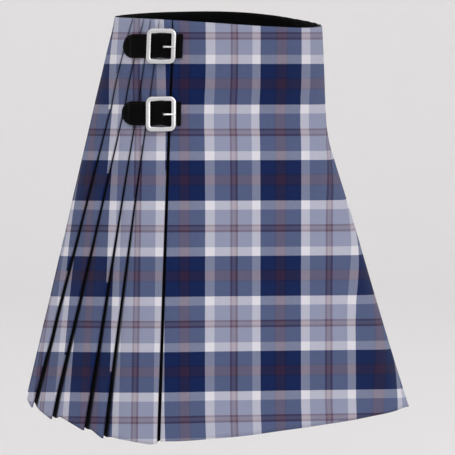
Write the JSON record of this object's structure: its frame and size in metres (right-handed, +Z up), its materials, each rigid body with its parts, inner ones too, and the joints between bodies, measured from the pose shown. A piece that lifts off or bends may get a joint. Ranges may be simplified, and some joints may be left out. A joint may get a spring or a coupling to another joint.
{
  "type": "scottish kilt",
  "caption": "Knee-length pleated tartan kilt, fastened and filled out as worn, hollow, with a flat front apron, knife pleats and leather straps with buckles at the hips",
  "frame": {"origin": "centre of the waist opening, level with the middle of the waist edge, where the wearer's waist holds the kilt", "axes": "+Z up; -Y is the wearer's front, where the flat apron is; -X is the wearer's right, where the two buckles are"},
  "size_m": [0.5734, 0.4644, 0.6312],
  "materials": {
    "tartan": "twill-woven wool tartan in navy, light blue, white and maroon",
    "lining": "plain black cotton lining",
    "leather": "black grained leather",
    "silver_metal": "polished silver-coloured metal"
  },
  "bodies": {
    "root": {"over_apron": "tartan", "under_apron": "tartan", "pleats_right": "tartan", "pleats_left": "tartan", "lining": "lining", "strap_upper": "leather", "strap_lower": "leather", "strap_left": "leather", "tab_upper": "leather", "tab_lower": "leather", "tab_left": "leather", "buckle_upper": "silver_metal", "buckle_lower": "silver_metal", "buckle_left": "silver_metal", "prong_upper": "silver_metal", "prong_lower": "silver_metal", "prong_left": "silver_metal"}
  },
  "joints": []
}
